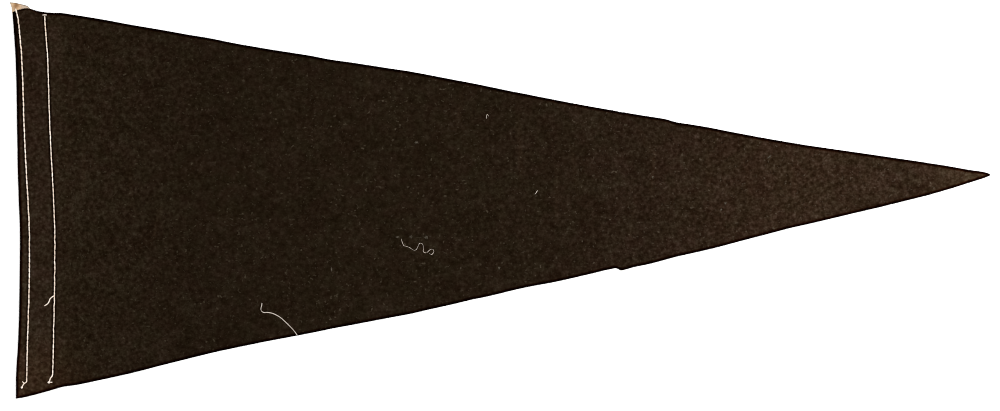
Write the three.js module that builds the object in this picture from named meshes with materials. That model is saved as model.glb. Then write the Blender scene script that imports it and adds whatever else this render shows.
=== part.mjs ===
import * as THREE from "three";

// A felt pennant flag that lies face down on a flat surface, so that its dark back shows.
// A narrow strip of pale felt, the heading, lies under the hoist end, where two rows of sewing
// hold it. The dark body lies over the heading and comes down to the surface just past it.
// Millimetres, +Z up. X runs from the hoist to the tip, Y from the lower long edge to the upper.
// The origin is under the middle of the flag, on the surface that it lies on.

// Driving sizes
const LENGTH = 762;
const HOIST = 307.5;
const BODY_THICKNESS = 1.6;
const HEADING_THICKNESS = 1.4;
const PLY_GAP = 0.3;

// The heading stops a little inside the body's edges and a little past the inner row of sewing.
// Its upper hoist corner stands out past the body.
const HEADING_INSET = 0.6;
const HEADING_PAST_SEWING = 3.5;
const HEADING_CORNER = 15;
const HEADING_SHARES = [0, 0.12, 0.255, 0.36, 0.437, 0.474, 0.563, 0.795, 1];
const HEADING_ROWS = 26;

// Past the heading the body slopes down to the surface over this run
const SLOPE_START = 1.5;
const SLOPE_RUN = 11;

// The bow of the hoist edge fades out over this much of the body
const BOW_RUN = 100;
const BODY_ROWS = 14;
const NEAR_SPACING = 4;
const NEAR_RUN = 60;
const FAR_SPACING = 10.4;

// Distances along the flag are measured from the outermost corner of the hoist, and heights up it
// from its lowest corner. Each row gives where the two long cut edges lie at one station.
const LONG_EDGES = [
  { along: 1.6, lower: -0.4, upper: 300.5 },
  { along: 4.6, lower: 0.0, upper: 301.6 },
  { along: 8, lower: 0.4, upper: 302.7 },
  { along: 12, lower: 1.3, upper: 303.7 },
  { along: 16, lower: 2.3, upper: 303.0 },
  { along: 20, lower: 3.3, upper: 301.7 },
  { along: 28, lower: 5.5, upper: 300.1 },
  { along: 34, lower: 7.2, upper: 299.8 },
  { along: 40, lower: 9.0, upper: 299.7 },
  { along: 50, lower: 10.4, upper: 298.3 },
  { along: 70, lower: 14.4, upper: 295.0 },
  { along: 94, lower: 19.9, upper: 290.5 },
  { along: 140, lower: 31.5, upper: 282.6 },
  { along: 172, lower: 38.9, upper: 276.4 },
  { along: 234, lower: 51.1, upper: 266.3 },
  { along: 296, lower: 63.2, upper: 256.4 },
  { along: 358, lower: 76.7, upper: 245.4 },
  { along: 420, lower: 90.1, upper: 232.9 },
  { along: 452, lower: 97.2, upper: 226.8 },
  { along: 467, lower: 100.9, upper: 224.1 },
  { along: 471.5, lower: 101.5, upper: 223.3 },
  { along: 474.7, lower: 99.8, upper: 222.7 },
  { along: 478, lower: 100.3, upper: 222.2 },
  { along: 484, lower: 101.8, upper: 221.1 },
  { along: 510, lower: 108.1, upper: 217.0 },
  { along: 518, lower: 110.2, upper: 214.7 },
  { along: 530, lower: 113.3, upper: 212.7 },
  { along: 592, lower: 128.9, upper: 201.5 },
  { along: 654, lower: 143.8, upper: 191.7 },
  { along: 716, lower: 159.0, upper: 182.7 },
  { along: 746, lower: 168.1, upper: 177.8 },
  { along: 758, lower: 172.0, upper: 175.4 },
  { along: LENGTH, lower: 173.5, upper: 174.5 },
];

// The stations where the lower edge has its notch and the upper edge its kink
const MARKED_STATIONS = [467, 471.5, 474.7, 478, 484, 510, 518, 530];

// The hoist's cut edge and the inner row of sewing, at heights up the hoist
const HOIST_LINES = [
  { up: 0, edge: 4.5, innerSewing: 32.7 },
  { up: 20, edge: 4.6, innerSewing: 32.9 },
  { up: 40, edge: 5.95, innerSewing: 33.5 },
  { up: 65, edge: 6.8, innerSewing: 34.0 },
  { up: 90, edge: 7.25, innerSewing: 34.4 },
  { up: 128, edge: 7.6, innerSewing: 34.4 },
  { up: 160, edge: 6.5, innerSewing: 33.3 },
  { up: 185, edge: 5.8, innerSewing: 32.0 },
  { up: 208, edge: 5.3, innerSewing: 30.9 },
  { up: 238, edge: 5.1, innerSewing: 29.9 },
  { up: 264, edge: 4.35, innerSewing: 29.0 },
  { up: 285, edge: 2.95, innerSewing: 27.5 },
  { up: 292, edge: 2.4, innerSewing: 27.0 },
  { up: 300.5, edge: 1.6, innerSewing: 26.7 },
];
const BODY_CORNER_UP = 300.5;

// The heading's upper end: its corner stands out past the body, and the rest dips under the body
const HEADING_UPPER_END = [
  { along: 0, up: HOIST },
  { along: 3.7, up: 307.3 },
  { along: 7.7, up: 306.5 },
  { along: 10.8, up: 305.8 },
  { along: 13.2, up: 305.1 },
  { along: 14.3, up: 303.8 },
  { along: 17, up: 301.6 },
  { along: 24, up: 299.9 },
  { along: 40, up: 298.6 },
];

// The main folds: soft low ridges across the flag, where it was folded and rolled before.
// lean is how far a ridge moves along the flag from the foot of the hoist to its top.
const FOLDS = [
  { along: 118, lean: 30, height: 0.7, spread: 26 },
  { along: 396, lean: -16, height: 0.9, spread: 22 },
  { along: 503, lean: -20, height: 1.2, spread: 20 },
  { along: 547, lean: 14, height: 0.8, spread: 18 },
  { along: 618, lean: -24, height: 1.1, spread: 20 },
  { along: 668, lean: 20, height: 0.9, spread: 16 },
];

const { clamp, lerp, mapLinear, smoothstep } = THREE.MathUtils;

// A smooth curve through one or more columns of a table, read at any place along another column
function curveThrough(rows, placeColumn, ...columns) {
  const places = rows.map((row) => row[placeColumn]);
  const values = rows.flatMap((row) => columns.map((column) => row[column]));
  const curve = new THREE.CubicInterpolant(places, values, columns.length);
  return (place) => Array.from(curve.evaluate(place));
}

const longEdgesAt = curveThrough(LONG_EDGES, "along", "lower", "upper");
const hoistLinesAt = curveThrough(HOIST_LINES, "up", "edge", "innerSewing");

function headingOuterEdgeAt(up) {
  const cornerStart = HOIST - HEADING_CORNER;
  const [edge] = hoistLinesAt(Math.min(up, cornerStart));
  const inset = edge + HEADING_INSET;
  return up < cornerStart ? inset : mapLinear(up, cornerStart, HOIST, inset, 0);
}

function headingInnerEdgeAt(up) {
  const [, innerSewing] = hoistLinesAt(up);
  return innerSewing + HEADING_PAST_SEWING;
}

function headingUpperEndAt(along) {
  const to = HEADING_UPPER_END.findIndex((row, i) => i > 0 && row.along >= along);
  const end = HEADING_UPPER_END[to];
  const start = HEADING_UPPER_END[to - 1];
  return mapLinear(along, start.along, end.along, start.up, end.up);
}

function foldHeightAt(along, up) {
  return FOLDS.reduce((height, fold) => {
    const ridge = fold.along + fold.lean * (up / HOIST - 0.5);
    const away = clamp((along - ridge) / fold.spread, -1, 1);
    return height + fold.height * (0.5 + 0.5 * Math.cos(Math.PI * away));
  }, 0);
}

// How far the body's underside is above the surface
function bodyRestAt(along, up) {
  const past = along - headingInnerEdgeAt(up) - SLOPE_START;
  const overHeading = HEADING_THICKNESS + PLY_GAP;
  return overHeading * (1 - smoothstep(past, 0, SLOPE_RUN)) + foldHeightAt(along, up);
}

function bodyPoint(station, share) {
  const [edge] = hoistLinesAt(share * BODY_CORNER_UP);
  const along = station + edge * clamp(1 - station / BOW_RUN, 0, 1) ** 2;
  const [lower, upper] = longEdgesAt(Math.min(along, LENGTH));
  const up = lerp(lower, upper, share);
  return { along, up, rest: bodyRestAt(along, up) };
}

function headingPoint(shareAlong, share) {
  const level = share * HOIST;
  const along = lerp(headingOuterEdgeAt(level), headingInnerEdgeAt(level), shareAlong);
  const [lower] = longEdgesAt(along);
  return { along, up: lerp(lower + HEADING_INSET, headingUpperEndAt(along), share), rest: 0 };
}

function evenStations(from, to, spacing) {
  const count = Math.round((to - from) / spacing);
  return Array.from({ length: count }, (_, i) => lerp(from, to, i / count));
}

// Close stations near the hoist, wider ones on to the tip, and the marked ones in place of
// their neighbours
function bodyStations() {
  const even = [
    ...evenStations(0, NEAR_RUN, NEAR_SPACING),
    ...evenStations(NEAR_RUN, LENGTH, FAR_SPACING),
    LENGTH,
  ];
  const clear = even.filter((station) =>
    MARKED_STATIONS.every((mark) => Math.abs(station - mark) > FAR_SPACING / 3),
  );
  return [...clear, ...MARKED_STATIONS].sort((a, b) => a - b);
}

// One closed sheet: a box divided into stations and rows, each of whose points is laid where
// pointAt puts it, on the underside or one thickness above it
function clothSheet(name, material, stations, rows, thickness, pointAt) {
  const columns = stations.length - 1;
  const geometry = new THREE.BoxGeometry(1, 1, 1, columns, rows, 1);
  const places = geometry.getAttribute("position");
  for (let i = 0; i < places.count; i += 1) {
    const station = stations[Math.round((places.getX(i) + 0.5) * columns)];
    const { along, up, rest } = pointAt(station, places.getY(i) + 0.5);
    const face = places.getZ(i) > 0 ? thickness : 0;
    places.setXYZ(i, along - LENGTH / 2, up - HOIST / 2, rest + face);
  }
  geometry.computeVertexNormals();
  const sheet = new THREE.Mesh(geometry, material);
  sheet.name = name;
  return sheet;
}

function feltBody() {
  const darkFelt = new THREE.MeshStandardMaterial({
    color: 0x261c12,
    roughness: 0.95,
    metalness: 0,
  });
  return clothSheet(
    "felt_body",
    darkFelt,
    bodyStations(),
    BODY_ROWS,
    BODY_THICKNESS,
    bodyPoint,
  );
}

function headingStrip() {
  const creamFelt = new THREE.MeshStandardMaterial({
    color: 0xe6cda6,
    roughness: 0.95,
    metalness: 0,
  });
  return clothSheet(
    "heading_strip",
    creamFelt,
    HEADING_SHARES,
    HEADING_ROWS,
    HEADING_THICKNESS,
    headingPoint,
  );
}

const pennant = new THREE.Group();
pennant.name = "pennant";
pennant.add(feltBody(), headingStrip());

export default pennant;
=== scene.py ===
import math
import random

import bmesh
import bpy
import numpy as np
from mathutils import Matrix, Vector, noise


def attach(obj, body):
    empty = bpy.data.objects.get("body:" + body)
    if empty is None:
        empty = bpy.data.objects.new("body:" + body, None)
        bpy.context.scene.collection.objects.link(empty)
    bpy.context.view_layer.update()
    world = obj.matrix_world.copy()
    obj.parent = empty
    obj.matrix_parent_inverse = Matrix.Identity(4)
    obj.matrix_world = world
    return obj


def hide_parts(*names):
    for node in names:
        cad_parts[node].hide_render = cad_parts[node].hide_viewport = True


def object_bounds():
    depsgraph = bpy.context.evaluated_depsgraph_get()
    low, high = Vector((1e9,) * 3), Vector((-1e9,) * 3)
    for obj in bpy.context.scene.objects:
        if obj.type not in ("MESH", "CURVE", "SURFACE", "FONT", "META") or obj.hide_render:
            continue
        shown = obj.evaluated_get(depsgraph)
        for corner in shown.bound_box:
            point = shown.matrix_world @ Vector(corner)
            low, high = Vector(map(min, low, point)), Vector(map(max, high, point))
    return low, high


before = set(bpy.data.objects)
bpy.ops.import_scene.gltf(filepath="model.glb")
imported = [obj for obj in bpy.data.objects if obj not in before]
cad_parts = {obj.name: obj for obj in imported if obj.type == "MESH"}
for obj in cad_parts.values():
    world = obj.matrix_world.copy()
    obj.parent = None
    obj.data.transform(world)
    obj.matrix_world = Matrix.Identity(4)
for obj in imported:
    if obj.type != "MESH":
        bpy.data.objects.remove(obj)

# A felt pennant flag that lies face down, so that its dark back shows. Sizes are in millimetres,
# measured along the flag from the outermost corner of the hoist and up from its lowest corner.
# place() and move_points() turn them into the frame's metres.
MM = 0.001
CAD_LOW, CAD_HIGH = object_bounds()
LENGTH = (CAD_HIGH[0] - CAD_LOW[0]) / MM
HOIST = (CAD_HIGH[1] - CAD_LOW[1]) / MM

BODY_THICKNESS = 1.6
HEADING_THICKNESS = 1.4
PLY_GAP = 0.3
HEADING_INSET = 0.6
HEADING_PAST_SEWING = 3.5
SLOPE_START = 1.5
SLOPE_RUN = 11

# along, lower edge, upper edge
LONG_EDGES = (
    (1.6, -0.4, 300.5), (4.6, 0, 301.8), (8, 0.4, 302.7), (12, 1.2, 303.5), (16, 2.2, 303),
    (20, 3.2, 301.7), (28, 5.4, 300.3), (34, 7.1, 299.9), (40, 8.9, 299.8), (50, 10.3, 298.3),
    (70, 14.4, 295.1), (94, 19.7, 290.7), (117, 25.6, 286.8), (140, 31.4, 282.7), (156, 35.3, 280.1),
    (172, 38.8, 276.8), (204, 45.3, 271.3), (234, 51, 266.5), (250, 54.3, 263.5), (265, 57.1, 261.4),
    (296, 63, 256.6), (312, 66, 254.2), (327, 69.5, 251.4), (342, 72.8, 248.5), (358, 76.6, 245.5),
    (374, 80, 242.2), (389, 83.7, 239.1), (404, 87.1, 236.2), (420, 89.9, 233), (452, 97.1, 227),
    (467, 100.6, 224.4), (471.5, 101.3, 223.6), (474.7, 99.6, 222.9), (478, 100.2, 222.5),
    (484, 101.9, 221.4), (497, 104.7, 219.3), (510, 108.1, 217.2), (518, 110.3, 214.9),
    (530, 112.9, 213.1), (549, 117.4, 209.7), (561, 120.6, 207.3), (592, 128.7, 201.6),
    (608, 132.9, 198.8), (624, 136.5, 196.3), (654, 143.6, 192), (685, 151, 187.5),
    (716, 158.8, 182.9), (731, 163.1, 180.5), (746, 167.9, 177.8), (758, 171.8, 176),
    (762, 173.4, 174.7),
)

# up, hoist edge, outer row of sewing, inner row of sewing
HOIST_LINES = (
    (0, 4.4, 12.4, 32.7), (20, 4.55, 12.9, 32.9), (40, 5.85, 13.2, 33.4), (65, 6.8, 13.95, 33.9),
    (90, 7.15, 14.65, 34.4), (128, 7.5, 14.75, 34.5), (160, 6.35, 13.35, 33.35),
    (185, 5.65, 11.95, 32), (208, 5.3, 10.85, 30.85), (238, 4.85, 9.85, 29.85),
    (264, 4.15, 8.9, 29), (285, 2.85, 7.1, 27.45), (292, 2.3, 6.35, 27), (297, 1.9, 5.7, 26.8),
    (300.5, 1.5, 4.8, 26.7), (304, 1.3, 3.7, 26.6),
)

# along, up
HEADING_UPPER_END = (
    (0, 308.15), (3.7, 307.9), (7.7, 306.95), (10.8, 306.2), (13.2, 305.5), (14.3, 304.2),
    (17, 301.8), (24, 299.9), (40, 298.6),
)

# up, along: the heading's outer edge runs out to its corner
HEADING_CORNER_EDGE = ((292.5, 2.9), (301, 1.15), (303.6, 1), (306, 0.15), (307.5, -0.7))

# along, lean from the foot of the hoist to its top, height, spread
FOLDS = (
    (118, 30, 0.7, 26), (396, -16, 0.9, 22), (503, -20, 1.2, 20), (547, 14, 0.8, 18),
    (618, -24, 1.1, 20), (668, 20, 0.9, 16),
)

# Creases, soft short ridges lit by a painted highlight: along and up of one end and of the other,
# strength
CREASES = (
    (394.9, 220.5, 397.2, 171.5, 1), (486.7, 212.7, 500.4, 187, 0.7),
    (500.4, 193.3, 498.3, 158.3, 1.2), (117.2, 150.5, 110.2, 121, 0.9),
    (352.1, 241.5, 347.4, 212.7, 0.8), (277.4, 255.5, 276.7, 235.3, 0.7),
    (425.2, 181.6, 424.5, 137.3, 0.7), (436.1, 197.2, 441.6, 154.4, 0.7),
    (486.7, 158.3, 481.2, 123.3, 0.7), (541.9, 193.3, 544.2, 155.9, 0.6),
    (572.2, 185.5, 575.3, 150.5, 0.6), (608.8, 181.6, 610.3, 158.3, 0.6),
    (379.3, 166.1, 384.8, 127.2, 0.5), (664, 176.2, 665.6, 162.2, 0.5),
    (93.1, 181.6, 93.9, 145.1, 0.5), (48.5, 210.4, 42.5, 181.6, 0.7),
    (57.3, 193.3, 55.8, 154.4, 0.6), (150.5, 196, 146, 168, 0.4),
)
CREASE_WIDTH = 1.9
CREASE_HEIGHT = 0.3

# The felt's own unevenness: how wide the lumps are, how high, and their own part of the seed
LUMPS = ((46, 0.22, 0), (13, 0.1, 5), (5.2, 0.075, 9))

# How far outside and inside its ends a crease, a groove or the painted shade beside one fades
CREASE_FADE = (6, 8)
GROOVE_FADE = (3, 1)
SHADE_FADE = (1.5, 0.5)

# The sewing: thick thread in long straight stitches, drawn down into the felt
STITCH_PITCH = 4.05
THREAD_RADIUS = 0.47
OUTER_ROW_ENDS = (12.8, 303.4)
INNER_ROW_ENDS = (18.3, 297.6)
GROOVE_DEPTH = 0.55
UNDER_GROOVE_DEPTH = 0.85
GROOVE_SPREAD = 1.15
HEADING_PUFF = 0.28


def curve_through(rows, column):
    """A smooth curve through one column of a table, read at places along its first column."""
    places = np.array([row[0] for row in rows], float)
    values = np.array([row[column] for row in rows], float)
    chords = np.diff(values) / np.diff(places)
    slopes = np.concatenate(([chords[0]], (chords[1:] + chords[:-1]) / 2, [chords[-1]]))

    def at(where):
        where = np.clip(where, places[0], places[-1])
        i = np.clip(np.searchsorted(places, where, side="right") - 1, 0, len(places) - 2)
        run = places[i + 1] - places[i]
        t = (where - places[i]) / run
        start = (2 * t**3 - 3 * t**2 + 1) * values[i] + (t**3 - 2 * t**2 + t) * run * slopes[i]
        end = (3 * t**2 - 2 * t**3) * values[i + 1] + (t**3 - t**2) * run * slopes[i + 1]
        return start + end

    return at


lower_edge = curve_through(LONG_EDGES, 1)
upper_edge = curve_through(LONG_EDGES, 2)
hoist_edge = curve_through(HOIST_LINES, 1)
outer_row = curve_through(HOIST_LINES, 2)
inner_row = curve_through(HOIST_LINES, 3)


def place(along, up, height):
    """A point in the frame's metres."""
    return Vector((CAD_LOW[0] + along * MM, CAD_LOW[1] + up * MM, CAD_LOW[2] + height * MM))


def smooth_step(value, start, end):
    t = np.clip((value - start) / (end - start), 0, 1)
    return t * t * (3 - 2 * t)


def fade_between(value, low, high, outside, inside):
    """1 between low and high, fading to 0 from a little inside each of them to a little outside."""
    rise = smooth_step(value, low - outside, low + inside)
    return rise * (1 - smooth_step(value, high - inside, high + outside))


def noise_at(along, up, size, seed):
    """Smooth noise at arrays of places, in lumps about as wide as size."""
    return np.array([noise.noise(Vector((x / size, y / size, seed))) for x, y in zip(along, up)])


def fold_height(along, up):
    height = 0
    for fold_along, lean, ridge, spread in FOLDS:
        away = np.clip((along - fold_along - lean * (up / HOIST - 0.5)) / spread, -1, 1)
        height = height + ridge * (0.5 + 0.5 * np.cos(np.pi * away))
    return height


def body_rest(along, up):
    """How far the body's underside is above the surface."""
    past = along - inner_row(up) - HEADING_PAST_SEWING - SLOPE_START
    over_heading = HEADING_THICKNESS + PLY_GAP
    return over_heading * (1 - smooth_step(past, 0, SLOPE_RUN)) + fold_height(along, up)


def groove(along, up):
    """1 in the middle of a row of sewing, and 0 away from it."""
    deepest = 0
    for row, ends in ((outer_row, OUTER_ROW_ENDS), (inner_row, INNER_ROW_ENDS)):
        within = fade_between(up, *ends, *GROOVE_FADE)
        deepest = np.maximum(deepest, within * np.exp(-(((along - row(up)) / GROOVE_SPREAD) ** 2)))
    return deepest


def heading_puff(along, up):
    """How far the felt swells between the two rows."""
    across = (along - outer_row(up)) / (inner_row(up) - outer_row(up))
    return HEADING_PUFF * np.clip(1 - (2 * across - 1) ** 2, 0, 1)


def crease_strength(along, up):
    """1 on the crest of a full crease, falling to 0 beside it and at its ends."""
    strength = 0 * up
    for from_along, from_up, to_along, to_up, full in CREASES:
        run_along, run_up = to_along - from_along, to_up - from_up
        run = math.hypot(run_along, run_up)
        down = ((along - from_along) * run_along + (up - from_up) * run_up) / run
        across = ((along - from_along) * run_up - (up - from_up) * run_along) / run
        ends = fade_between(down, 0, run, *CREASE_FADE)
        strength = strength + full * ends * np.exp(-((across / CREASE_WIDTH) ** 2))
    return strength


def felt_lumps(along, up, seed):
    """The felt's own unevenness, as heights for arrays of places."""
    return sum(high * noise_at(along, up, wide, seed + own) for wide, high, own in LUMPS)


def body_top(along, up):
    """The height of the body's back above the surface."""
    level = body_rest(along, up) + BODY_THICKNESS + heading_puff(along, up)
    level = level + CREASE_HEIGHT * crease_strength(along, up)
    return level - GROOVE_DEPTH * groove(along, up) + felt_lumps(along, up, 2.0)


def on_body(along, up):
    return (up < upper_edge(along)) & (up > lower_edge(along)) & (along > hoist_edge(up))


def deselect_all():
    bpy.ops.object.select_all(action="DESELECT")


def make_active(piece):
    deselect_all()
    piece.select_set(True)
    bpy.context.view_layer.objects.active = piece


def new_object(name, data):
    piece = bpy.data.objects.new(name, data)
    bpy.context.collection.objects.link(piece)
    return piece


def copy_of(pattern):
    return new_object(pattern.name, pattern.data.copy())


def fix_place():
    bpy.ops.object.transform_apply(location=True, rotation=True, scale=True)


def edit_parts(piece, chosen, operator, kind="FACE", **settings):
    """Runs an edit-mode operator on the faces or edges that are chosen, in the mesh's order."""
    make_active(piece)
    bpy.ops.object.mode_set(mode="EDIT")
    bpy.ops.mesh.select_mode(type=kind)
    bpy.ops.mesh.select_all(action="DESELECT")
    shape = bmesh.from_edit_mesh(piece.data)
    for part in shape.faces if kind == "FACE" else shape.edges:
        if chosen[part.index]:
            part.select_set(True)
    bmesh.update_edit_mesh(piece.data)
    operator(**settings)
    bpy.ops.object.mode_set(mode="OBJECT")


def in_rows(*columns):
    """One row for each point, from arrays that each hold one column."""
    return np.stack(columns, axis=1)


def apply_modifier(piece, kind, **settings):
    make_active(piece)
    modifier = piece.modifiers.new(kind.title(), kind)
    for name, value in settings.items():
        setattr(modifier, name, value)
    bpy.ops.object.modifier_apply(modifier=modifier.name)


def finish_piece(piece, name, material):
    """Smooths and names a piece, and gives it its material and its place in the frame."""
    make_active(piece)
    bpy.ops.object.shade_smooth()
    piece.name = name
    piece.data.name = name
    piece.data.materials.clear()
    piece.data.materials.append(material)
    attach(piece, "root")
    return piece


def coordinates(piece):
    flat = np.empty(len(piece.data.vertices) * 3)
    piece.data.vertices.foreach_get("co", flat)
    return flat.reshape(-1, 3)


def points_of(piece):
    """The piece's points, as distances along and up and heights."""
    return (coordinates(piece) - np.array(CAD_LOW)) / MM


def move_points(piece, points):
    flat = (np.asarray(points) * MM + np.array(CAD_LOW)).ravel()
    piece.data.vertices.foreach_set("co", flat)
    piece.data.update()


def all_faces(piece):
    return np.ones(len(piece.data.polygons), bool)


def face_corners(piece):
    return np.array([face.vertices[:] for face in piece.data.polygons])


def edge_ends(mesh):
    ends = np.empty(len(mesh.edges) * 2, np.int32)
    mesh.edges.foreach_get("vertices", ends)
    return ends.reshape(-1, 2)


def rim_points(mesh):
    """Which points lie on the open rim of a sheet."""
    edge_uses = np.empty(len(mesh.loops), np.int32)
    mesh.loops.foreach_get("edge_index", edge_uses)
    open_edges = np.bincount(edge_uses, minlength=len(mesh.edges)) == 1
    rim = np.zeros(len(mesh.vertices), bool)
    rim[edge_ends(mesh)[open_edges].ravel()] = True
    return rim


def rings_from_rim(mesh, count):
    """0 for points on the open rim of a sheet, 1 for the next ones in, and so on up to count."""
    ends = edge_ends(mesh)
    ring = np.where(rim_points(mesh), 0, count)
    for step in range(count - 1):
        near = ends[(ring[ends] == step).any(axis=1)].ravel()
        ring[near] = np.minimum(ring[near], step + 1)
    return ring


def thicken(piece, thickness, top, underside, ring):
    """Makes a sheet solid, with its top and underside at the heights given by two functions."""
    apply_modifier(piece, "SOLIDIFY", thickness=thickness * MM, offset=-1)
    points = points_of(piece)
    half = len(points) // 2
    upper, lower = points[:half], points[half:]
    upper[:, 2] = top(upper[:, 0], upper[:, 1]) - np.array(RIM_DROP)[ring]
    lower[:, 2] = underside(lower[:, 0], lower[:, 1]) + np.array(RIM_RISE)[ring]
    move_points(piece, points)
    return points


def add_point_values(piece, **values):
    """Keeps values with a piece's points, for its material to read."""
    for name, numbers in values.items():
        attribute = piece.data.attributes.new(name, "FLOAT", "POINT")
        attribute.data.foreach_set("value", np.asarray(numbers, np.float32))


def cloth_grid(columns, rows):
    """A flat grid, and the column and row that each of its points is in."""
    deselect_all()
    bpy.ops.mesh.primitive_grid_add(x_subdivisions=columns, y_subdivisions=rows, size=1)
    piece = bpy.context.object
    unit = coordinates(piece) + 0.5
    column = np.rint(unit[:, 0] * columns).astype(int)
    row = np.rint(unit[:, 1] * rows).astype(int)
    return piece, column, row


# A cut rim is rounded over two close rings: how far in they are, and how far each ring of points
# drops at the top and rises underneath, from the rim itself inward
RIM_STEP = 0.15
RIM_WIDTH = 0.45
RIM_DROP = (0.45, 0.17, 0.03, 0)
RIM_RISE = (0.3, 0.1, 0.02, 0)
RINGS = 3

# The dark felt body is a grid, narrower at the hoist and narrowest beside the rows of sewing
BODY_CELL = 1.75
NEAR_CELL = 1.3
FINE_CELL = 0.5
FINE_REACH = 3
FIRST_COLUMN = 3.0
SPARE_ROWS = 3

# Where the rows of sewing lie in the grid before it is bent, and where the bend ends
NOMINAL_OUTER = 8
NOMINAL_INNER = 27
WARP_END = 100

# The grid is cut back this many cells from a long edge, and its new rim moved out to the edge
# from within so many. Points that come closer than MERGE_WITHIN become one.
CUT_WITHIN = 1.05
MOVED_WITHIN = 3.2
MERGE_WITHIN = 0.4
RAGGEDNESS = 0.08

# The distance to a slanting long edge, as a share of the distance straight up
LONG_EDGE_LEAN = 0.975


def body_columns():
    """Places along the flag, close together at the two rows of sewing."""
    columns = [0.0, FIRST_COLUMN]
    while columns[-1] < LENGTH - 2 * BODY_CELL:
        here = columns[-1]
        close = min(abs(here - NOMINAL_OUTER), abs(here - NOMINAL_INNER)) < FINE_REACH
        spacing = NEAR_CELL if here < NOMINAL_INNER else BODY_CELL
        columns.append(here + (FINE_CELL if close else spacing))
    return np.array(columns + [LENGTH])


def warp_along(nominal, up):
    """Bends the columns so that they follow the hoist edge and both rows of sewing."""
    marks = (0, NOMINAL_OUTER, NOMINAL_INNER, WARP_END)
    lines = (hoist_edge(up), outer_row(up), inner_row(up), WARP_END + 0 * up)
    bent = nominal.astype(float)
    for i in range(len(marks) - 1):
        part = (nominal >= marks[i]) & (nominal < marks[i + 1])
        share = (nominal - marks[i]) / (marks[i + 1] - marks[i])
        bent = np.where(part, lines[i] + share * (lines[i + 1] - lines[i]), bent)
    return bent


def cut_raggedness(along, up, reach):
    """How far a hand-cut edge strays from its line."""
    return reach * (noise_at(along, up, 12, 31.0) + 0.5 * noise_at(along, up, 4, 37.0))


def body_outline():
    """A flat sheet with the body's outline."""
    columns = body_columns()
    half_rows = math.ceil(HOIST / 2 / BODY_CELL) + SPARE_ROWS
    piece, column, row = cloth_grid(len(columns) - 1, 2 * half_rows)
    row = row - half_rows
    nominal = columns[column]
    up = (lower_edge(nominal) + upper_edge(nominal)) / 2 + row * BODY_CELL
    along = warp_along(nominal, up)
    points = in_rows(along, up, 0 * up)
    move_points(piece, points)

    corners = face_corners(piece)
    centre = points[corners].mean(axis=1)
    beside_middle = np.abs(row[corners]).min(axis=1) == 0
    clear = CUT_WITHIN * BODY_CELL
    inside = centre[:, 1] - lower_edge(centre[:, 0]) > clear
    inside &= upper_edge(centre[:, 0]) - centre[:, 1] > clear
    edit_parts(piece, ~(inside | beside_middle), bpy.ops.mesh.delete, type="FACE")

    points = points_of(piece)
    rim = rim_points(piece.data)
    along, up = points[:, 0], points[:, 1]
    to_lower = up - lower_edge(along)
    to_upper = upper_edge(along) - up
    near_long_edge = np.minimum(np.abs(to_lower), np.abs(to_upper)) < MOVED_WITHIN * BODY_CELL
    ragged = cut_raggedness(along, up, RAGGEDNESS)
    edge = np.where(np.abs(to_lower) < np.abs(to_upper), lower_edge(along), upper_edge(along))
    points[:, 1] = np.where(rim & near_long_edge, edge + ragged, up)
    at_hoist = rim & ~near_long_edge & (along < NOMINAL_OUTER * 2)
    points[:, 0] = np.where(at_hoist, along + ragged, along)
    move_points(piece, points)
    at_rim = rim[face_corners(piece)].any(axis=1)
    edit_parts(piece, at_rim, bpy.ops.mesh.remove_doubles, threshold=MERGE_WITHIN * MM)
    for width in (RIM_WIDTH, RIM_STEP):
        edit_parts(
            piece, all_faces(piece), bpy.ops.mesh.inset, thickness=width * MM, use_boundary=True,
        )
    return piece


def edge_distance(along, up):
    """How far a place on the body is from the nearest cut edge."""
    gap = np.minimum(up - lower_edge(along), upper_edge(along) - up) * LONG_EDGE_LEAN
    return np.minimum(gap, along - hoist_edge(up))


# Painted shade darkens the felt where a row draws it down. The felt also darkens with each
# millimetre up the hoist, and is lighter outside the outer row, though painted shade darkens it
# towards the top there
SEWN_DARK = 0.75
FOOT_LIGHT = 0.12
DARKER_UP = 0.0009
MARGIN_LIGHT = 0.22
MARGIN_DARK = 0.55
MARGIN_DARKENS = (185, 235)


def sewing_shade(along, up):
    """Painted shade darkens the felt beside a row of sewing, where it is drawn down. The outer row
    has it on one side only.
    """
    shade = 1 + 0 * up
    sides = ((outer_row, OUTER_ROW_ENDS, 0.2, 1.0), (inner_row, INNER_ROW_ENDS, 1.1, 2.6))
    for row, ends, start, end in sides:
        away = along - row(up)
        beside = smooth_step(away, -2.6, -1.1) * (1 - smooth_step(away, start, end))
        within = fade_between(up, *ends, *SHADE_FADE)
        shade = shade * (1 - SEWN_DARK * beside * within)
    return shade


def hoist_shade(along, up):
    """How the felt darkens towards the top of the hoist, with painted shade beside the rows and
    outside the outer row near the top.
    """
    sewn = 1 - smooth_step(along - inner_row(up), -1.5, -0.5)
    outside = 1 - smooth_step(along - outer_row(up), -1.5, -0.5)
    shade = 1 - sewn * (DARKER_UP * up - FOOT_LIGHT) + MARGIN_LIGHT * outside
    shade = shade * (1 - MARGIN_DARK * outside * smooth_step(up, *MARGIN_DARKENS))
    return shade * sewing_shade(along, up)


def rim_relief(along, up):
    """How much less of the painted shade along the rim shows at the upper corner, where the heading
    stands out.
    """
    across = (1 - smooth_step(along, 12, 30)) * smooth_step(along, 2, 5)
    return 0.9 * smooth_step(up, 296, 299) * across


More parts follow.
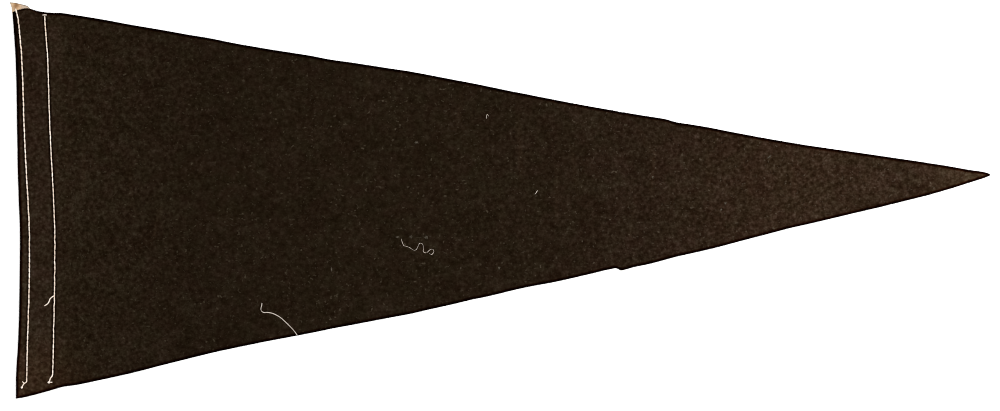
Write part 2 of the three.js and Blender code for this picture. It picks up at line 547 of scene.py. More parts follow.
def felt_body(material):
    piece = body_outline()
    ring = rings_from_rim(piece.data, RINGS)
    points = thicken(piece, BODY_THICKNESS, body_top, body_rest, ring)
    along, up = points[:, 0], points[:, 1]
    # For the material: the cut edge's distance for painted rim shade, the hoist's shade, and the
    # painted crease highlight
    add_point_values(
        piece, from_edge=edge_distance(along, up) + rim_relief(along, up),
        hoist_shade=hoist_shade(along, up), worn=crease_strength(along, up),
    )
    finish_piece(piece, "dark_felt_body", material)
    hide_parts("felt_body")
    return piece


# The cream felt heading under the hoist
HEADING_CELL = 1.25
HEADING_WIDTH = 30
HEADING_RAGGEDNESS = 0.16


def heading_outer_edge(up):
    corner = np.interp(up, *zip(*HEADING_CORNER_EDGE))
    return np.where(up < HEADING_CORNER_EDGE[0][0], hoist_edge(up) + HEADING_INSET, corner)


def heading_inner_edge(up):
    return inner_row(up) + HEADING_PAST_SEWING


def heading_upper_end(along):
    return np.interp(along, *zip(*HEADING_UPPER_END))


def heading_underside(along, up):
    return UNDER_GROOVE_DEPTH * groove(along, up)


def heading_top(along, up):
    return HEADING_THICKNESS + np.minimum(0.5 * felt_lumps(along, up, 14.0), 0.1)


def edged_shares(size):
    """Even shares of a side, with the close rings of the rim at both of its ends."""
    rim = np.array([0, RIM_STEP, RIM_WIDTH]) / size
    inner = np.linspace(rim[-1], 1 - rim[-1], round(size / HEADING_CELL) + 1)
    return np.concatenate([rim, inner[1:-1], 1 - rim[::-1]])


def heading_strip(material):
    shares_along, shares_up = edged_shares(HEADING_WIDTH), edged_shares(HOIST)
    columns, rows = len(shares_along) - 1, len(shares_up) - 1
    piece, column, row = cloth_grid(columns, rows)
    share_along, share_up = shares_along[column], shares_up[row]
    level = share_up * HOIST
    outer, inner = heading_outer_edge(level), heading_inner_edge(level)
    along = outer + share_along * (inner - outer)
    low, high = lower_edge(along) + HEADING_INSET, heading_upper_end(along)
    up = low + share_up * (high - low)
    from_side, from_end = np.minimum(column, columns - column), np.minimum(row, rows - row)
    ragged = cut_raggedness(along, up, HEADING_RAGGEDNESS)
    along = along + np.where(from_side < RINGS, ragged, 0)
    up = up + np.where(from_end < RINGS, np.minimum(ragged, 0.1), 0)
    move_points(piece, in_rows(along, up, 0 * up))
    ring = np.minimum(np.minimum(from_side, from_end), RINGS)
    points = thicken(piece, HEADING_THICKNESS, heading_top, heading_underside, ring)
    along, up = points[:, 0], points[:, 1]
    from_edge = heading_upper_end(along) - up
    add_point_values(piece, in_groove=groove(along, up), from_edge=from_edge)
    finish_piece(piece, "cream_felt_heading", material)
    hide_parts("heading_strip")
    return piece


# A stitch narrows and dives down at both ends, and arches up between them
STITCH_SIDES = 8
STITCH_CUTS = 7
STITCH_OVERLAP = 0.25
STITCH_FULLNESS = 1.12
STITCH_NARROWING = 0.52
STITCH_FLATNESS = 0.85
STITCH_ARCH = 0.12
STITCH_DIVE = 0.46
STITCH_STEP_CLEARANCE = 0.6
UNDER_STITCH_LEVEL = 0.45
UNDER_STITCH_FLATNESS = 0.75


def one_stitch():
    """One stitch along Y."""
    deselect_all()
    length = (STITCH_PITCH + STITCH_OVERLAP) * MM
    bpy.ops.mesh.primitive_cylinder_add(
        vertices=STITCH_SIDES, radius=THREAD_RADIUS * MM, depth=length,
        end_fill_type="TRIFAN", rotation=(math.pi / 2, 0, 0),
    )
    piece = bpy.context.object
    fix_place()
    at = coordinates(piece)[:, 1][edge_ends(piece.data)]
    lengthwise = np.abs(at[:, 0] - at[:, 1]) > length / 2
    edit_parts(piece, lengthwise, bpy.ops.mesh.subdivide, "EDGE", number_cuts=STITCH_CUTS)
    for point in piece.data.vertices:
        t = point.co.y / (length / 2)
        swell = STITCH_FULLNESS - STITCH_NARROWING * abs(t) ** 4
        level = STITCH_ARCH * (1 - t * t) - STITCH_DIVE * abs(t) ** 5
        point.co.x *= swell
        point.co.z = point.co.z * swell * STITCH_FLATNESS + level * MM
    return piece


def no_soil(up):
    return 0


def inner_row_soil(up):
    """The inner row is clean, but for a duller stretch below its middle."""
    return 0.34 * math.exp(-(((up - 118) / 42) ** 2)) - 0.12


def sew_row(stitch, name, row, ends, side, material, seed, fullness=1.0, soiling=no_soil):
    """A row of stitches from the upper end of a row down to its lower end."""
    dice = random.Random(seed)
    low, high = ends
    count = round((high - low) / STITCH_PITCH)
    holes = []
    for i in range(count + 1):
        up = high - (high - low) * i / count + dice.uniform(-0.2, 0.2)
        holes.append((row(up) + dice.uniform(-0.13, 0.13), up))
    along, up = np.array(holes).T
    places = [place(*hole) for hole in zip(along, up, side(along, up))]
    copies = []
    for start, end, start_up in zip(places, places[1:], up):
        turn = (start - end).to_track_quat("Y", "Z").to_matrix().to_4x4()
        roll = Matrix.Rotation(dice.uniform(-0.05, 0.05), 4, "Z")
        length = (start - end).length / (STITCH_PITCH * MM)
        width = fullness * dice.uniform(0.9, 1.08)
        size = Matrix.Diagonal((width, length, dice.uniform(0.95, 1.05), 1))
        copy = copy_of(stitch)
        copy.data.transform(Matrix.Translation((start + end) / 2) @ turn @ roll @ size)
        soil = dice.uniform(0, 0.5) + soiling(start_up)
        add_point_values(copy, soil=[soil] * len(copy.data.vertices))
        copies.append(copy)
    deselect_all()
    for copy in copies:
        copy.select_set(True)
    bpy.context.view_layer.objects.active = copies[0]
    bpy.ops.object.join()
    return finish_piece(bpy.context.object, name, material)


def sewn_top(along, up):
    """The height of a thread's middle where it lies on the back, or steps down to the heading."""
    on_heading = HEADING_THICKNESS + STITCH_STEP_CLEARANCE
    level = np.where(on_body(along, up), body_top(along, up), on_heading)
    return level + 0.95 * THREAD_RADIUS


def sewn_under(along, up):
    """The height of a thread's middle where it lies in the groove under the heading."""
    return 0 * up + UNDER_STITCH_LEVEL


def sewing(material):
    """Both rows, on the body's back and on the heading's face."""
    stitch = one_stitch()
    under_stitch = copy_of(stitch)
    under_stitch.data.transform(Matrix.Diagonal((1, 1, -UNDER_STITCH_FLATNESS, 1)))
    under_stitch.data.flip_normals()
    outer, inner = (outer_row, OUTER_ROW_ENDS), (inner_row, INNER_ROW_ENDS)
    on_back = [
        sew_row(stitch, "outer_sewing", *outer, sewn_top, material, 11, 1.04),
        sew_row(stitch, "inner_sewing", *inner, sewn_top, material, 12, 0.92, inner_row_soil),
    ]
    on_face = [
        sew_row(under_stitch, "outer_sewing_face", *outer, sewn_under, material, 13),
        sew_row(under_stitch, "inner_sewing_face", *inner, sewn_under, material, 14),
    ]
    for pattern in (stitch, under_stitch):
        bpy.data.objects.remove(pattern)
    return on_back, on_face


# Thread ends: along, up, lift above the felt
OUTER_TAIL = (
    (12.7, 15.2, 0.4), (12.55, 13.2, 0.4), (12, 12.4, 0.5), (10.9, 11.8, 0.5), (10.1, 10.8, 0.45),
    (9.4, 9.5, 0.4), (8.9, 8.6, 0.35),
)
OUTER_STUB = ((11, 11.8, 0.6), (10.2, 12.4, 0.8), (9.4, 13.2, 0.7))
INNER_TAIL = (
    (32.85, 20.4, 0.4), (32.8, 18.4, 0.4), (32.2, 17, 0.45), (31.3, 15.9, 0.5), (30.7, 14.3, 0.4),
    (30.1, 12.6, 0.4),
)
INNER_STUB = ((30.6, 13, 0.6), (31.6, 12.6, 0.6), (32.7, 12.8, 0.45))
INNER_FIRST = ((25, 298.2, 0.25), (26.6, 298.35, 0.45), (28.4, 298.3, 0.25))
SIDE_STUB = (
    (34.3, 80, 0.5), (33.5, 79.6, 0.9), (32.1, 78.6, 0.8), (30.9, 77.4, 0.5), (30.3, 75.8, 0.4),
    (29.5, 74.3, 0.4), (28.1, 73, 0.4), (26.5, 72.1, 0.35),
)

# Two specks of lint are short pieces of thread too
BENT_SPECK = (
    (370.4, 217.7, 0.3), (370.5, 219.9, 0.4), (371, 221, 0.5), (371.6, 220.3, 0.4),
    (372.1, 219.6, 0.3),
)
STRAIGHT_SPECK = ((408, 158.9, 0.3), (409, 160, 0.4), (409.5, 160.9, 0.4), (410.2, 161.9, 0.3))

# Loose threads lie close to the felt and vary in thickness: along, up, share of the radius
LOOSE_LIFT = 0.32
LONG_THREAD = (
    (195.7, 74.3, 0.8), (195.45, 72.2, 1), (194.9, 70.1, 0.9), (195.2, 68.2, 0.45),
    (196.8, 67, 0.9), (200.2, 66.9, 1), (203.6, 66.25, 1.1), (207.1, 64.75, 1),
    (209.7, 63.2, 0.9), (213.25, 60.15, 1), (217.3, 56.2, 0.9), (220.65, 52.6, 0.85),
    (223.1, 49.3, 0.85),
)
CURLY_THREAD = (
    (304, 124.3, 0.2), (304.9, 121.3, 1), (305.4, 120.1, 0.5), (305.9, 119.1, 0.85),
    (307.1, 118.5, 0.2), (308.5, 118.2, 1), (309.5, 117.8, 0.2), (310.5, 117.4, 0.85),
    (312.3, 116.2, 0.22), (314, 115.3, 0.25), (315.8, 115.9, 0.6), (316.6, 117.4, 0.4),
    (317.6, 119.4, 0.25), (318.3, 120.6, 0.95), (319.1, 120.7, 0.1), (320, 120.6, 0.6),
    (321.2, 118.5, 0.22), (321.4, 116.4, 0.35), (321.2, 114.4, 0.9), (322.3, 113.5, 1.15),
    (323.6, 113.3, 0.15), (325, 114.4, 0.95), (326.8, 115.9, 0.6), (328, 116.1, 0.1),
    (329.1, 115.5, 0.45), (329.4, 113.9, 0.45), (328.7, 112.9, 0.8), (327.6, 112, 1.1),
    (326.8, 112.3, 0.15), (326, 112.9, 0.5),
)


def surface_under(along, up):
    return body_top(np.array([along]), np.array([up]))[0]


def laid_thread(name, route, radius, material, taper=0.75, thicknesses=()):
    """A thread that lies on the felt along a route. Its lifts are for a thread of radius 0.4."""
    curve = bpy.data.curves.new(name, "CURVE")
    curve.dimensions = "3D"
    curve.bevel_depth = radius * MM
    curve.bevel_resolution = 2
    curve.use_fill_caps = True
    spline = curve.splines.new("BEZIER")
    spline.bezier_points.add(len(route) - 1)
    for i, (point, (along, up, lift)) in enumerate(zip(spline.bezier_points, route)):
        inside_up = max(up, lower_edge(along) + 0.6)
        height = surface_under(along, inside_up) + lift * radius / 0.4
        point.co = place(along, up, height)
        point.handle_left_type = point.handle_right_type = "AUTO"
        point.radius = taper if i in (0, len(route) - 1) else 1
        if thicknesses:
            point.radius = thicknesses[i]
    curve.resolution_u = 5
    make_active(new_object(name, curve))
    bpy.ops.object.convert(target="MESH")
    piece = bpy.context.object
    edit_parts(piece, all_faces(piece), bpy.ops.mesh.remove_doubles, threshold=0.002 * MM)
    return finish_piece(piece, name, material)


def loose_thread(name, course, radius, material):
    route = [(along, up, LOOSE_LIFT) for along, up, _ in course]
    thicknesses = [share for _, _, share in course]
    return laid_thread(name, route, radius, material, thicknesses=thicknesses)


def knot(name, along, up, radius, material, seed):
    """A small uneven knot, worked up from a ball."""
    deselect_all()
    middle = place(along, up, surface_under(along, up) + 0.5 * radius)
    bpy.ops.mesh.primitive_ico_sphere_add(subdivisions=3, radius=radius * MM, location=middle)
    piece = bpy.context.object
    fix_place()
    for point in piece.data.vertices:
        out = point.co - middle
        wave = noise.noise(out / (radius * MM) * 1.6 + Vector((seed, 0, 0)))
        point.co = middle + out * (1 + 0.35 * wave) * 0.95
        point.co.z = middle.z + (point.co.z - middle.z) * 0.75
    return finish_piece(piece, name, material)


def thread_ends(thread, lint):
    return [
        laid_thread("outer_sewing_tail", OUTER_TAIL, 0.48, thread),
        laid_thread("outer_sewing_stub", OUTER_STUB, 0.4, thread),
        knot("outer_sewing_knot", 8.9, 8.5, 0.85, thread, 1),
        laid_thread("inner_sewing_tail", INNER_TAIL, 0.5, thread),
        laid_thread("inner_sewing_stub", INNER_STUB, 0.42, thread),
        knot("inner_sewing_knot", 30.0, 12.6, 0.95, thread, 5),
        laid_thread("inner_sewing_first", INNER_FIRST, 0.38, thread),
        laid_thread("side_thread_stub", SIDE_STUB, 0.45, thread),
        loose_thread("long_loose_thread", LONG_THREAD, 0.37, lint),
        loose_thread("curly_loose_thread", CURLY_THREAD, 0.3, lint),
    ]


def lint_specks(material):
    return [
        laid_thread("lint_bent_speck", BENT_SPECK, 0.2, material, taper=0.6),
        laid_thread("lint_straight_speck", STRAIGHT_SPECK, 0.3, material, taper=0.5),
    ]


# Loose fibres: how many lie on the back and stand out of the edges, and where those start
SURFACE_FIBRES = 7000
EDGE_FIBRES = 3200
EDGE_FIBRES_START = 5.5

# A fibre's three sides, with the flat one up
FIBRE_SIDES = (-math.pi / 2, math.pi / 6, math.pi * 5 / 6)

# The other pale specks are soft tufts: along, up, reach along and up, turn, fibres in it
TUFTS = (
    (249.8, 100.3, 0.3, 1.3, 0, 120), (590.4, 188, 1.7, 0.5, 0.8, 110),
    (380.1, 101.4, 0.8, 1.1, 0, 100), (316, 199.2, 1.5, 0.9, 0, 120),
    (301.1, 125.6, 1.2, 0.5, 0, 95), (311.7, 125.6, 1.5, 1.2, 0, 65),
    (323.6, 125.4, 1.5, 1.4, 0, 110), (553, 147, 0.5, 0.5, 0, 120),
    (556.3, 151.9, 0.8, 0.8, 0, 85), (499.6, 172.4, 0.6, 0.8, 0, 100),
)


def tapered_fibres(name, roots, tips, bows, widths, shades, material):
    """Many short fibres as one mesh. Each is a three-sided spindle with a bend in its middle."""
    count = len(roots)
    run = tips - roots
    side = in_rows(-run[:, 1], run[:, 0], 0 * run[:, 0])
    side /= np.maximum(np.linalg.norm(side, axis=1, keepdims=True), 1e-6)
    above = np.array([0, 0, 1])
    rings = [roots[:, None]]
    for share in (1 / 3, 2 / 3):
        middle = roots + run * share + bows
        ring = []
        for angle in FIBRE_SIDES:
            out = math.cos(angle) * side + math.sin(angle) * above
            ring.append(middle + widths[:, None] / 2 * out)
        rings.append(in_rows(*ring))
    rings.append(tips[:, None])
    points = np.concatenate(rings, axis=1).reshape(-1, 3)
    # A fibre's points are its root, 0, its rings, 1 to 3 and 4 to 6, and its tip, 7
    faces = []
    for a, b in ((0, 1), (1, 2), (2, 0)):
        faces += [(0, 1 + b, 1 + a), (1 + a, 1 + b, 4 + b), (1 + a, 4 + b, 4 + a), (4 + a, 4 + b, 7)]
    faces = (np.array(faces)[None] + 8 * np.arange(count)[:, None, None]).reshape(-1, 3)
    mesh = bpy.data.meshes.new(name)
    mesh.from_pydata((points * MM + np.array(CAD_LOW)).tolist(), [], faces.tolist())
    piece = new_object(name, mesh)
    add_point_values(piece, shade=np.repeat(shades, 8))
    return finish_piece(piece, name, material)


def surface_fibres(count, material):
    """Loose wool fibres that lie on the back of the body."""
    dice = np.random.default_rng(71)
    along = LENGTH * (1 - np.sqrt(dice.uniform(0, 1, count * 2)))
    share = dice.uniform(0.01, 0.99, count * 2)
    up = lower_edge(along) + share * (upper_edge(along) - lower_edge(along))
    keep = (along > hoist_edge(up) + 1) & (groove(along, up) < 0.15)
    along, up = along[keep][:count], up[keep][:count]
    count = len(along)
    angle = dice.uniform(0, 2 * np.pi, count)
    length = dice.uniform(1.6, 5.0, count)
    far_along = along + length * np.cos(angle)
    far_up = up + length * np.sin(angle)
    inside = on_body(far_along, far_up)
    far_along, far_up = np.where(inside, far_along, along), np.where(inside, far_up, up + 0.5)
    roots = in_rows(along, up, body_top(along, up) - 0.05)
    tips = in_rows(far_along, far_up, body_top(far_along, far_up) - 0.05)
    bow = dice.uniform(-0.25, 0.25, count) * length
    bows = in_rows(-bow * np.sin(angle), bow * np.cos(angle), dice.uniform(0.08, 0.3, count))
    widths = dice.uniform(0.07, 0.16, count)
    calm = 1 - 0.45 * smooth_step(along, 330, 560)
    shades = 0.55 + (dice.uniform(0, 0.97, count) - 0.55) * calm
    return tapered_fibres("felt_surface_fibres", roots, tips, bows, widths, shades, material)


def tufts(material):
    """Small soft tufts of pale wool that lie here and there on the back."""
    dice = np.random.default_rng(73)
    parts = []
    for along, up, reach_along, reach_up, turn, count in TUFTS:
        across, down = dice.normal(0, 0.45, (2, count)) * np.array([[reach_along], [reach_up]])
        parts.append(np.stack([
            along + across * math.cos(turn) - down * math.sin(turn),
            up + across * math.sin(turn) + down * math.cos(turn),
        ]))
    along, up = np.concatenate(parts, axis=1)
    count = len(along)
    angle = dice.uniform(0, 2 * np.pi, count)
    half = dice.uniform(0.25, 0.65, count)
    ends = []
    for side in (-1, 1):
        end_along, end_up = along + side * half * np.cos(angle), up + side * half * np.sin(angle)
        ends.append(in_rows(end_along, end_up, body_top(end_along, end_up) + 0.02))
    bows = in_rows(*dice.uniform(-0.25, 0.25, (2, count)), dice.uniform(0.05, 0.3, count))
    widths = dice.uniform(0.05, 0.09, count)
    shades = dice.uniform(0.985, 1, count)
    return tapered_fibres("pale_wool_tufts", *ends, bows, widths, shades, material)


def edge_fibres(count, material):
    """Short fibres that stand out of the body's cut edges. An eighth of them are at the hoist."""
    dice = np.random.default_rng(72)
    at_hoist = slice(count // 8)
    along = dice.uniform(EDGE_FIBRES_START, LENGTH - 1, count)
    on_lower = dice.uniform(0, 1, count) < 0.5
    up = np.where(on_lower, lower_edge(along), upper_edge(along))
    outward = np.where(on_lower, -np.pi / 2, np.pi / 2)
    up[at_hoist] = dice.uniform(1, 299, count // 8)
    along[at_hoist] = hoist_edge(up[at_hoist])
    outward[at_hoist] = np.pi
    angle = outward + dice.normal(0, 0.75, count)
    length = dice.uniform(0.35, 0.9, count)
    length[at_hoist] *= 0.5
    level = body_rest(along, up) + dice.uniform(0.2, BODY_THICKNESS - 0.1, count)
    roots = in_rows(along - 0.3 * np.cos(outward), up - 0.3 * np.sin(outward), level)
    rise = dice.normal(0, 0.25, count)
    tips = roots + in_rows(np.cos(angle) * length, np.sin(angle) * length, rise)
    tips[:, 2] = np.maximum(tips[:, 2], 0.08)
    bow = dice.uniform(-0.25, 0.25, count) * length
    bows = in_rows(-bow * np.sin(angle), bow * np.cos(angle), 0 * bow)
    widths = dice.uniform(0.05, 0.11, count)
    shades = dice.uniform(0, 0.6, count)
    return tapered_fibres("felt_edge_fibres", roots, tips, bows, widths, shades, material)


# The dark felt's tone, from the hoist to the tip, and the colours of its mixed-in wool
DARK_TONES = (
    (0, (0.0157, 0.0091, 0.0051)), (0.045, (0.0148, 0.0089, 0.005)),
    (0.055, (0.0115, 0.007, 0.0036)), (0.2, (0.0092, 0.0056, 0.0029)),
    (0.5, (0.01, 0.0061, 0.0031)), (0.65, (0.0133, 0.0076, 0.0042)),
    (0.8, (0.0196, 0.0108, 0.0059)), (0.92, (0.0197, 0.0111, 0.0061)),
    (1, (0.036, 0.0218, 0.0115)),
)
HEATHER_GREY = (0.036, 0.029, 0.0178)
HEATHER_PALE = (0.078, 0.06, 0.043)
OLIVE_TINT = (0.96, 1.02, 0.97)
RUSSET_TINT = (1.04, 0.98, 1.02)
RED_BROWN_TINT = (1.3, 1.14, 1.04)
WARM_SHEEN = (0.6, 0.42, 0.28)
# How the painted rim shade and the hoist's shade turn browner as they darken, a power for each
# channel
RIM_POWERS = (0.8, 1.3, 1.7)
HOIST_POWERS = (0.92, 1.08, 1.15)

# A loose fibre's tone, from the darkest to the tufts'
FIBRE_TONES = (
    (0, (0.0085, 0.0052, 0.003)), (0.5, (0.014, 0.0094, 0.0055)),
    (0.8, (0.0235, 0.018, 0.0109)), (0.97, (0.048, 0.039, 0.025)), (1, (0.12, 0.102, 0.078)),
)

# The cream felt, and the marks at its bared corner
CREAM = (0.5, 0.345, 0.205)
CREAM_PALE = (0.54, 0.41, 0.285)
CREAM_GREY = (0.41, 0.315, 0.235)
STAIN = (0.175, 0.088, 0.036)
TAN_TINT = (0.96, 0.84, 0.74)

# Threads, clean and dull
CREAM_THREAD = (0.9, 0.81, 0.72)
CREAM_THREAD_DULL = (0.66, 0.52, 0.41)
LINT = (0.54, 0.48, 0.425)
LINT_DULL = (0.32, 0.265, 0.22)
YELLOWED_TINT = (1.03, 0.99, 0.93)

WHITE = (1, 1, 1)
FLOOR_GREY = 0.93


def new_material(name, roughness, sheen, sheen_roughness, sheen_tint, specular=0.15):
    """A material, its tree of shader nodes, which the functions below take, and its shader."""
    material = bpy.data.materials.new(name)
    material.use_nodes = True
    tree = material.node_tree
    shader = tree.nodes["Principled BSDF"]
    settings = (
        ("Roughness", roughness), ("Specular IOR Level", specular), ("Sheen Weight", sheen),
        ("Sheen Roughness", sheen_roughness), ("Sheen Tint", (*sheen_tint, 1)),
    )
    for socket, value in settings:
        shader.inputs[socket].default_value = value
    return material, tree, shader


def add_node(tree, kind, inputs=(), **settings):
    """Adds a shader node. inputs pairs a socket's name or number with a value or another socket."""
    node = tree.nodes.new("ShaderNode" + kind)
    for name, value in settings.items():
        setattr(node, name, value)
    for socket, value in inputs:
        if isinstance(value, bpy.types.NodeSocket):
            tree.links.new(value, node.inputs[socket])
        else:
            node.inputs[socket].default_value = value
    return node


def object_place(tree):
    return add_node(tree, "TexCoord").outputs["Object"]


def grain(tree, size, detail=3.0, roughness=0.6, stretch=(1, 1, 1), turn=0.0, shift=0.0):
    """Noise from 0 to 1, whose broadest blotches are about as wide as size in millimetres."""
    mapping = add_node(
        tree, "Mapping",
        [("Vector", object_place(tree)), ("Scale", stretch), ("Rotation", (0, 0, turn)),
         ("Location", (shift, shift, 0))],
    )
    return add_node(
        tree, "TexNoise",
        [("Vector", mapping.outputs["Vector"]), ("Scale", 1 / (size * MM)), ("Detail", detail),
         ("Roughness", roughness)],
    ).outputs["Fac"]


def remap(tree, value, from_low, from_high, to_low=0.0, to_high=1.0, smooth=False):
    """A value carried from one range to another, and kept inside it."""
    return add_node(
        tree, "MapRange", enumerate((value, from_low, from_high, to_low, to_high)),
        interpolation_type="SMOOTHSTEP" if smooth else "LINEAR",
    ).outputs["Result"]


def mathed(tree, operation, first, second):
    return add_node(tree, "Math", [(0, first), (1, second)], operation=operation).outputs["Value"]


def times(tree, first, second):
    return mathed(tree, "MULTIPLY", first, second)


def mixed(tree, share, first, second, blend="MIX"):
    """A mix of two colours, each of them a socket or three numbers."""
    inputs = [(0, share)]
    for socket, value in ((6, first), (7, second)):
        inputs.append((socket, value if isinstance(value, bpy.types.NodeSocket) else (*value, 1)))
    return add_node(tree, "Mix", inputs, data_type="RGBA", blend_type=blend).outputs[2]


def tone_ramp(tree, value, stops):
    node = add_node(tree, "ValToRGB", [("Fac", value)])
    ramp = node.color_ramp
    while len(ramp.elements) < len(stops):
        ramp.elements.new(0.5)
    for element, (position, tone) in zip(ramp.elements, stops):
        element.position = position
        element.color = (*tone, 1)
    return node.outputs["Color"]


def near_point(tree, along, up, height, within, reach):
    """1 within a distance of a point, falling to 0 at a longer reach, all in millimetres."""
    point = tuple(place(along, up, height))
    offset = add_node(
        tree, "VectorMath", [(0, object_place(tree)), (1, point)], operation="DISTANCE",
    )
    return remap(tree, offset.outputs["Value"], within * MM, reach * MM, 1, 0, True)


def point_value(tree, name):
    return add_node(tree, "Attribute", attribute_name=name).outputs["Fac"]


def joined(tree, channels):
    """A colour of three values."""
    return add_node(tree, "CombineColor", enumerate(channels)).outputs["Color"]


def grey(tree, value):
    """The same value as a colour, to multiply by."""
    return joined(tree, (value, value, value))


def brown_shade(tree, value, powers):
    """A shade to multiply by that turns browner as it darkens, with a power for each channel."""
    return joined(tree, [mathed(tree, "POWER", value, power) for power in powers])


def tinted(tree, tone, tint):
    return mixed(tree, 1.0, tone, tint, "MULTIPLY")


def tinted_where(tree, tone, share, tint):
    """A tone that takes on a tint as a share goes from 0 to 1."""
    return tinted(tree, tone, mixed(tree, share, WHITE, tint))


def share_along(tree):
    """0 at the hoist and 1 at the tip."""
    parts = add_node(tree, "SeparateXYZ", [("Vector", object_place(tree))])
    return remap(tree, parts.outputs["X"], CAD_LOW[0], CAD_HIGH[0])


def wool_mix(tree, size, roughness, shift, reach):
    """Noise from minus half of reach to plus half of it."""
    mix = grain(tree, size, 1, roughness, shift=shift)
    return remap(tree, mix, 0, 1, -reach / 2, reach / 2)


def mottle(tree):
    """The uneven mixing of the felt's wool, as a tint around white. Its lighter parts are greyer."""
    share = share_along(tree)
    grown = remap(tree, share, 0.4, 0.75, 1, 1.65)
    sewn = remap(tree, share, 0.1, 0.22, 1.45, 1)
    faded = remap(tree, share, 0.45, 0.75, 1, 0.5)
    near = wool_mix(tree, 2.8, 0.7, 3.3, 2.0)
    middle = wool_mix(tree, 6.2, 1, 0.0, 1.0)
    far = wool_mix(tree, 26, 0.6, 5.9, 0.6)
    near = times(tree, times(tree, near, grown), sewn)
    middle = times(tree, middle, faded)
    total = mathed(tree, "ADD", near, mathed(tree, "ADD", middle, far))
    return joined(tree, [
        mathed(tree, "EXPONENT", times(tree, total, power), 0) for power in (0.82, 1.0, 1.22)
    ])


def heather_flecks(tree):
    """How much of a pale fleck shows: round specks and short streaks, in looser crowds."""
    crowd = remap(tree, grain(tree, 11, 2, 0.6, shift=4.9), 0.35, 0.65, 0.2, 0.7)
    specks = grain(tree, 2.3, 1, 0.4, shift=7.7)
    specks = remap(tree, specks, 0.65, 0.79, 0, 1, True)
    streaks = grain(tree, 1.8, 1, 0.4, (0.5, 1, 1), 0.1, 2.7)
    streaks = remap(tree, streaks, 0.66, 0.82, 0, 0.6, True)
    return times(tree, mathed(tree, "MAXIMUM", specks, streaks), crowd)


def dark_felt_material():
    material, tree, shader = new_material("dark felt", 0.95, 0.02, 0.5, WARM_SHEEN, specular=0)
    tone = tone_ramp(tree, share_along(tree), DARK_TONES)
    tone = tinted(tree, tone, mottle(tree))
    patch = remap(tree, grain(tree, 16, 2, 0.6, shift=9.1), 0.38, 0.62)
    tone = tinted(tree, tone, mixed(tree, patch, OLIVE_TINT, RUSSET_TINT))
    fleck_tone = mixed(tree, share_along(tree), HEATHER_GREY, HEATHER_PALE)
    tone = mixed(tree, heather_flecks(tree), tone, fleck_tone)
    # Painted highlight along the crests of the creases
    worn = times(tree, point_value(tree, "worn"), 0.3)
    tone = tinted(tree, tone, grey(tree, mathed(tree, "ADD", worn, 1)))
    corner = near_point(tree, 22, 4, BODY_THICKNESS, 12, 60)
    tone = tinted_where(tree, tone, corner, RED_BROWN_TINT)
    # Painted shade along the cut rim, turning browner as it darkens
    rim = remap(tree, point_value(tree, "from_edge"), 1.05, 3.0, 0.06, 1, True)
    tone = tinted(tree, tone, brown_shade(tree, rim, RIM_POWERS))
    # The hoist's tone, darker towards its top, with painted shade beside the rows and outside the
    # outer row near the top
    hoist = brown_shade(tree, point_value(tree, "hoist_shade"), HOIST_POWERS)
    tone = tinted(tree, tone, hoist)
    tree.links.new(tone, shader.inputs["Base Color"])
    felt_bump(tree, shader, 0.35)
    return material


def add_bump(tree, shader, height, strength, distance):
    bump = add_node(
        tree, "Bump", [("Height", height), ("Strength", strength), ("Distance", distance * MM)],
    )
    tree.links.new(bump.outputs["Normal"], shader.inputs["Normal"])


def felt_bump(tree, shader, strength):
    """Matted fibres, as a fine bump."""
    fine = grain(tree, 1.3, 2, 0.6, (1, 0.6, 1), 0.7, 1.7)
    coarse = grain(tree, 3.5, 2, 0.6, shift=2.3)
    height = mathed(tree, "ADD", fine, times(tree, coarse, 1.2))
    add_bump(tree, shader, height, strength, 0.25)


def fibre_material():
    material, tree, shader = new_material("wool fibres", 0.95, 0.02, 0.5, WARM_SHEEN, specular=0)
    tone = tone_ramp(tree, point_value(tree, "shade"), FIBRE_TONES)
    tree.links.new(tone, shader.inputs["Base Color"])
    return material


def cream_felt_material():
    material, tree, shader = new_material("cream felt", 0.95, 0.1, 0.5, (1, 0.95, 0.85))
    blotch = remap(tree, grain(tree, 9, 4, 0.6), 0.3, 0.7, 0, 0.6)
    dull = near_point(tree, 12.5, 304.2, HEADING_THICKNESS, 2, 8)
    tone = mixed(tree, dull, mixed(tree, blotch, CREAM, CREAM_PALE), CREAM_GREY)
    speckle = remap(tree, grain(tree, 1.6, 3, 0.7, shift=4.4), 0.3, 0.7, 0.84, 1.14)
    tone = tinted(tree, tone, grey(tree, speckle))
    tan = near_point(tree, 5.0, 305.0, HEADING_THICKNESS, 1, 5)
    tone = tinted_where(tree, tone, tan, TAN_TINT)
    stain = near_point(tree, 4.6, 306.0, HEADING_THICKNESS, 0.3, 3.3)
    faint = near_point(tree, 2.5, 304.6, HEADING_THICKNESS, 0.5, 3.5)
    tone = mixed(tree, times(tree, stain, 0.85), tone, STAIN)
    tone = mixed(tree, times(tree, faint, 0.3), tone, STAIN)
    # Painted shade in the grooves where the rows of sewing draw the felt down
    painted_groove_shade = remap(tree, point_value(tree, "in_groove"), 0.1, 0.9, 1, 0.7)
    edge_dark = remap(tree, point_value(tree, "from_edge"), 0.2, 1.1, 0.4, 1, True)
    shade = times(tree, painted_groove_shade, edge_dark)
    tone = tinted(tree, tone, grey(tree, shade))
    tree.links.new(tone, shader.inputs["Base Color"])
    felt_bump(tree, shader, 0.5)
    return material


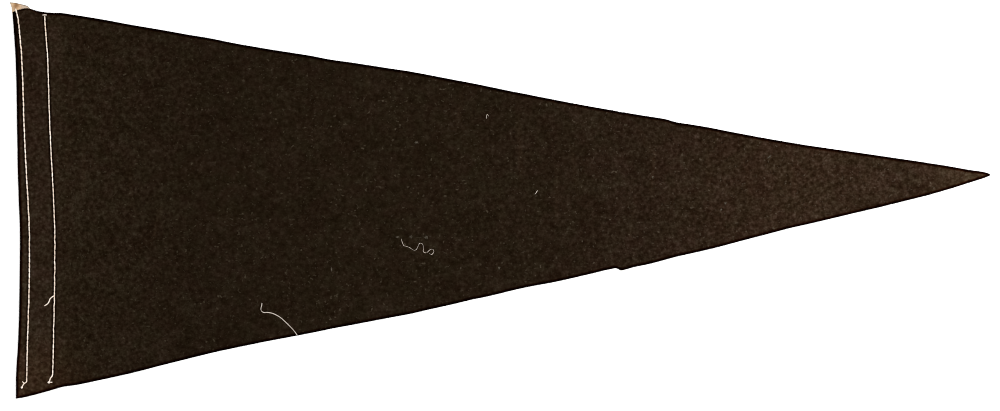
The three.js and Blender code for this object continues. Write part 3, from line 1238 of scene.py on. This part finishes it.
def thread_material(name, tone, dull):
    """Two-ply cotton: fine slanting bands for the twist, and a little soiling."""
    material, tree, shader = new_material(name, 0.8, 0.15, 0.4, (1, 0.97, 0.9))
    soil = remap(tree, grain(tree, 7, 3, 0.6), 0.3, 0.7, -0.1, 0.8)
    soil = mathed(tree, "ADD", soil, point_value(tree, "soil"))
    colour = mixed(tree, soil, tone, dull)
    yellowed = near_point(tree, 26.9, 286, 3, 4, 13)
    colour = tinted_where(tree, colour, yellowed, YELLOWED_TINT)
    twist = add_node(
        tree, "TexWave",
        [("Vector", object_place(tree)), ("Scale", 0.16 / MM), ("Distortion", 0.6)],
        wave_type="BANDS", bands_direction="DIAGONAL",
    ).outputs["Fac"]
    colour = tinted(tree, colour, grey(tree, remap(tree, twist, 0, 1, 0.82, 1.0)))
    tree.links.new(colour, shader.inputs["Base Color"])
    add_bump(tree, shader, twist, 0.5, 0.12)
    return material


def floor_material():
    material, _, shader = new_material("pale floor", 0.9, 0, 0.5, WHITE)
    shader.inputs["Base Color"].default_value = (FLOOR_GREY, FLOOR_GREY, FLOOR_GREY, 1)
    return material


# The photograph's frame: 1000 by 411 pixels, looking straight down
PHOTO_SIZE = (1000, 411)
MM_PER_PIXEL = 0.7778
HOIST_CORNER_X = 10.3
LOWEST_CORNER_Y = 398.5
LENS = 300
SENSOR = 36

FLOOR_SIZE = 8
FLOOR_DROP = 0.02


def camera():
    view = bpy.data.cameras.new("camera")
    view.lens = LENS
    view.sensor_width = SENSOR
    view.clip_start = 0.01
    view.clip_end = 50
    width = PHOTO_SIZE[0] * MM_PER_PIXEL
    along = (PHOTO_SIZE[0] / 2 - HOIST_CORNER_X) * MM_PER_PIXEL
    up = (LOWEST_CORNER_Y - PHOTO_SIZE[1] / 2) * MM_PER_PIXEL
    piece = new_object("camera", view)
    piece.location = place(along, up, width * LENS / SENSOR + CAD_HIGH[2] / MM)
    bpy.context.scene.camera = piece


def floor():
    deselect_all()
    level = CAD_LOW[2] - FLOOR_DROP * MM
    bpy.ops.mesh.primitive_plane_add(size=FLOOR_SIZE, location=(0, 0, level))
    piece = bpy.context.object
    fix_place()
    piece.name = "floor"
    piece.data.materials.append(floor_material())


def soft_box(name, size, middle, energy):
    lamp = bpy.data.lights.new(name, "AREA")
    lamp.shape = "RECTANGLE"
    lamp.size, lamp.size_y = size
    lamp.energy = energy
    piece = new_object(name, lamp)
    piece.location = middle
    piece.rotation_euler = (-piece.location).to_track_quat("-Z", "Y").to_euler()


def studio_light():
    world = bpy.data.worlds.new("studio")
    world.use_nodes = True
    background = world.node_tree.nodes["Background"]
    background.inputs["Color"].default_value = (*WHITE, 1)
    background.inputs["Strength"].default_value = 0.2
    bpy.context.scene.world = world
    soft_box("overhead light", (1.1, 0.8), Vector((0, 0, 2.6)), 83)
    soft_box("side light", (1.2, 0.8), Vector((1.5, 0.9, 0.9)), 22)


# How far along the flag its hoist edge is, on average
MEAN_HOIST_EDGE = 6


def body_area():
    """The flat area of the body, in square metres."""
    along = np.linspace(0, LENGTH, 2000)
    height = np.where(along < MEAN_HOIST_EDGE, 0, upper_edge(along) - lower_edge(along))
    return float(height.mean() * LENGTH * MM * MM)


def heading_area():
    up = np.linspace(0, HOIST, 2000)
    width = heading_inner_edge(up) - heading_outer_edge(up)
    return float(width.mean() * HOIST * MM * MM)


camera()
floor()
studio_light()
dark_felt = dark_felt_material()
cream_felt = cream_felt_material()
cream_thread = thread_material("cream thread", CREAM_THREAD, CREAM_THREAD_DULL)
lint_thread = thread_material("grey lint thread", LINT, LINT_DULL)
wool_fibres = fibre_material()

body = felt_body(dark_felt)
heading = heading_strip(cream_felt)
back_rows, face_rows = sewing(cream_thread)
on_back = back_rows + thread_ends(cream_thread, lint_thread) + lint_specks(lint_thread)
on_back += [surface_fibres(SURFACE_FIBRES, wool_fibres), tufts(wool_fibres)]
on_back += [edge_fibres(EDGE_FIBRES, wool_fibres)]
body_area()
heading_area()

scene = bpy.context.scene
scene.view_settings.view_transform = "Standard"
scene.view_settings.look = "None"
scene.cycles.filter_width = 1.0
